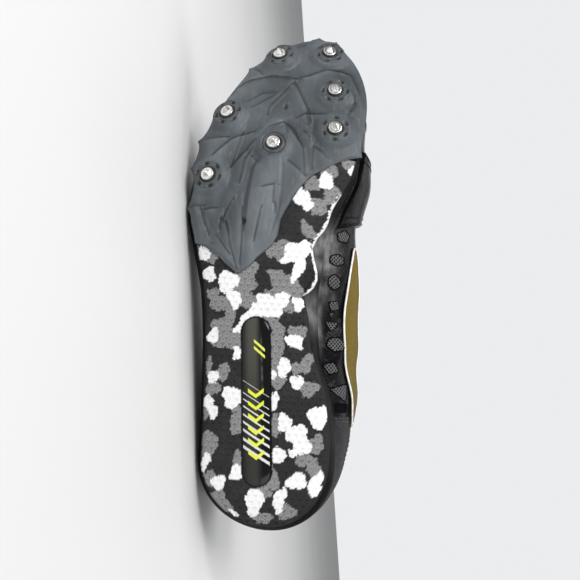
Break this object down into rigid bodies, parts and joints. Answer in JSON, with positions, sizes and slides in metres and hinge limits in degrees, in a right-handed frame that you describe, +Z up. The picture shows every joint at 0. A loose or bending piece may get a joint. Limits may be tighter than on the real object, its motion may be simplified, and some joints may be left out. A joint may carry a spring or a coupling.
{
  "type": "track spike shoe",
  "caption": "Sprint spike shoe for the right foot, low-cut lasted upper with an open collar, moulded forefoot spike plate and thin tread, lying on its outer side.",
  "frame": {"origin": "on the floor, under the middle of the shoe's box as it lies on its outer side", "axes": "+X from the toe to the heel, +Y from the sole to the ankle, +Z up from the outer to the inner side of the foot"},
  "size_m": [0.285, 0.0918, 0.1053],
  "materials": {
    "plate": "semi-gloss slate blue-grey moulding with scuffs",
    "rubber": "matt tread in white, grey and charcoal camouflage",
    "badge": "glossy black dome with white and yellow bars",
    "foam": "matt black foam",
    "sheet": "matt black textile",
    "film": "black semi-gloss film",
    "cloth": "dark grey woven mesh",
    "gold": "satin gold film",
    "cord": "matt black flat braid",
    "steel": "bright plated steel"
  },
  "bodies": {
    "root": {"midsole": "foam", "spike_plate": "plate", "outsole": "rubber", "heel_badge": "badge", "spike_toe_outer": "steel", "spike_toe_inner": "steel", "spike_front_inner": "steel", "spike_front_outer": "steel", "spike_ball_inner": "steel", "spike_centre": "steel", "spike_ball_outer": "steel", "insole": "sheet", "upper": "cloth", "tongue": "cloth", "eyestay": "film", "lace": "cord", "gold_panel": "gold", "forefoot_strap": "film"}
  },
  "joints": []
}
